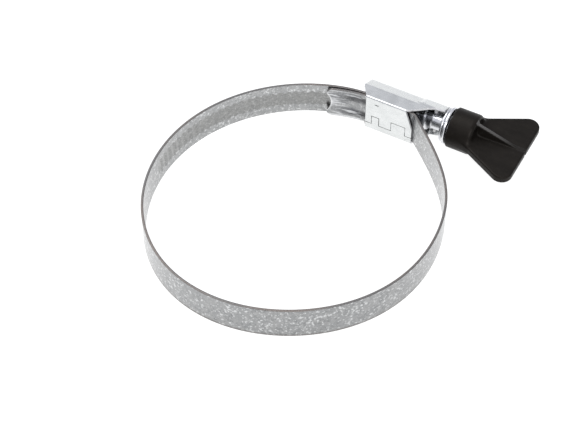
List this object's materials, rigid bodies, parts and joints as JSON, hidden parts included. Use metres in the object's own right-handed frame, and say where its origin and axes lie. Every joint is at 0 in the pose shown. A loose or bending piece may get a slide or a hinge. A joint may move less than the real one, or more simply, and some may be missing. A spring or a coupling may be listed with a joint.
{
  "type": "hose clamp",
  "caption": "Worm-drive hose clamp: a plated band ring runs through a folded housing, and a screw with a moulded thumb key draws its toothed end in to tighten.",
  "frame": {"origin": "middle of the footprint, level with the lowest fold of the housing", "axes": "+X along the screw towards the thumb key, +Y from the ring centre out through the housing, +Z along the hose"},
  "size_m": [0.0766, 0.0874, 0.0108],
  "materials": {
    "galvanised_band": "galvanised steel strip with a fine mottled spangle, satin, darker slit edges",
    "plated_housing": "bright zinc-plated folded sheet, satin",
    "plated_screw": "bright zinc-plated turned steel, glossy",
    "key_plastic": "near-black moulded nylon, satin"
  },
  "bodies": {
    "housing": {"housing": "plated_housing", "band_fixed_end": "galvanised_band"},
    "screw": {"worm_screw": "plated_screw", "thumb_key": "key_plastic"},
    "washer": {"thrust_washer": "plated_screw"},
    "toothed_end": {"band_toothed_end": "galvanised_band"},
    "left_1": {"band_left_1": "galvanised_band"},
    "left_2": {"band_left_2": "galvanised_band"},
    "left_3": {"band_left_3": "galvanised_band"},
    "left_4": {"band_left_4": "galvanised_band"},
    "left_5": {"band_left_5": "galvanised_band"},
    "right_1": {"band_right_1": "galvanised_band"},
    "right_2": {"band_right_2": "galvanised_band"},
    "right_3": {"band_right_3": "galvanised_band"}
  },
  "joints": [
    {"name": "screw_turn", "type": "hinge", "parent": "housing", "child": "screw", "pos_m": [0.01908, 0.03285, 0.0054], "axis": [-1, 0, 0], "range_deg": [0, 1441]},
    {"name": "washer_spin", "type": "hinge", "parent": "screw", "child": "washer", "pos_m": [0.01731, 0.03285, 0.0054], "axis": [-1, 0, 0], "continuous": true},
    {"name": "band_draw", "type": "slide", "parent": "housing", "child": "toothed_end", "axis": [1, 0, 0], "range_m": [0, 0.008]},
    {"name": "left_flex_1", "type": "hinge", "parent": "toothed_end", "child": "left_1", "pos_m": [-0.00342, 0.02912, 0.0054], "axis": [0, 0, 1], "range_deg": [-11.66, 0]},
    {"name": "left_flex_2", "type": "hinge", "parent": "left_1", "child": "left_2", "pos_m": [-0.00931, 0.02806, 0.0054], "axis": [0, 0, 1], "range_deg": [0, 0.43]},
    {"name": "left_flex_3", "type": "hinge", "parent": "left_2", "child": "left_3", "pos_m": [-0.03128, 0.01189, 0.0054], "axis": [0, 0, 1], "range_deg": [0, 2.1]},
    {"name": "left_flex_4", "type": "hinge", "parent": "left_3", "child": "left_4", "pos_m": [-0.03691, -0.01487, 0.0054], "axis": [0, 0, 1], "range_deg": [0, 1.41]},
    {"name": "left_flex_5", "type": "hinge", "parent": "left_4", "child": "left_5", "pos_m": [-0.02258, -0.03805, 0.0054], "axis": [0, 0, 1], "range_deg": [0, 1.96]},
    {"name": "right_flex_1", "type": "hinge", "parent": "housing", "child": "right_1", "pos_m": [0.01431, 0.02488, 0.0054], "axis": [0, 0, 1], "range_deg": [-0.1, 0]},
    {"name": "right_flex_2", "type": "hinge", "parent": "right_1", "child": "right_2", "pos_m": [0.03047, 0.00198, 0.0054], "axis": [0, 0, 1], "range_deg": [-2.15, 0]},
    {"name": "right_flex_3", "type": "hinge", "parent": "right_2", "child": "right_3", "pos_m": [0.02682, -0.02507, 0.0054], "axis": [0, 0, 1], "range_deg": [-3.54, 0]}
  ],
  "couplings": [
    {"joint": "screw_turn", "follows": "band_draw", "rad_per_m": 3141.6},
    {"joint": "left_flex_1", "follows": "band_draw", "rad_per_m": -25.176},
    {"joint": "left_flex_2", "follows": "band_draw", "rad_per_m": 0.89448},
    {"joint": "left_flex_3", "follows": "band_draw", "rad_per_m": 4.5379},
    {"joint": "left_flex_4", "follows": "band_draw", "rad_per_m": 3.0325},
    {"joint": "left_flex_5", "follows": "band_draw", "rad_per_m": 4.2324},
    {"joint": "right_flex_1", "follows": "band_draw", "rad_per_m": -0.17453},
    {"joint": "right_flex_2", "follows": "band_draw", "rad_per_m": -4.6469},
    {"joint": "right_flex_3", "follows": "band_draw", "rad_per_m": -7.6794}
  ]
}
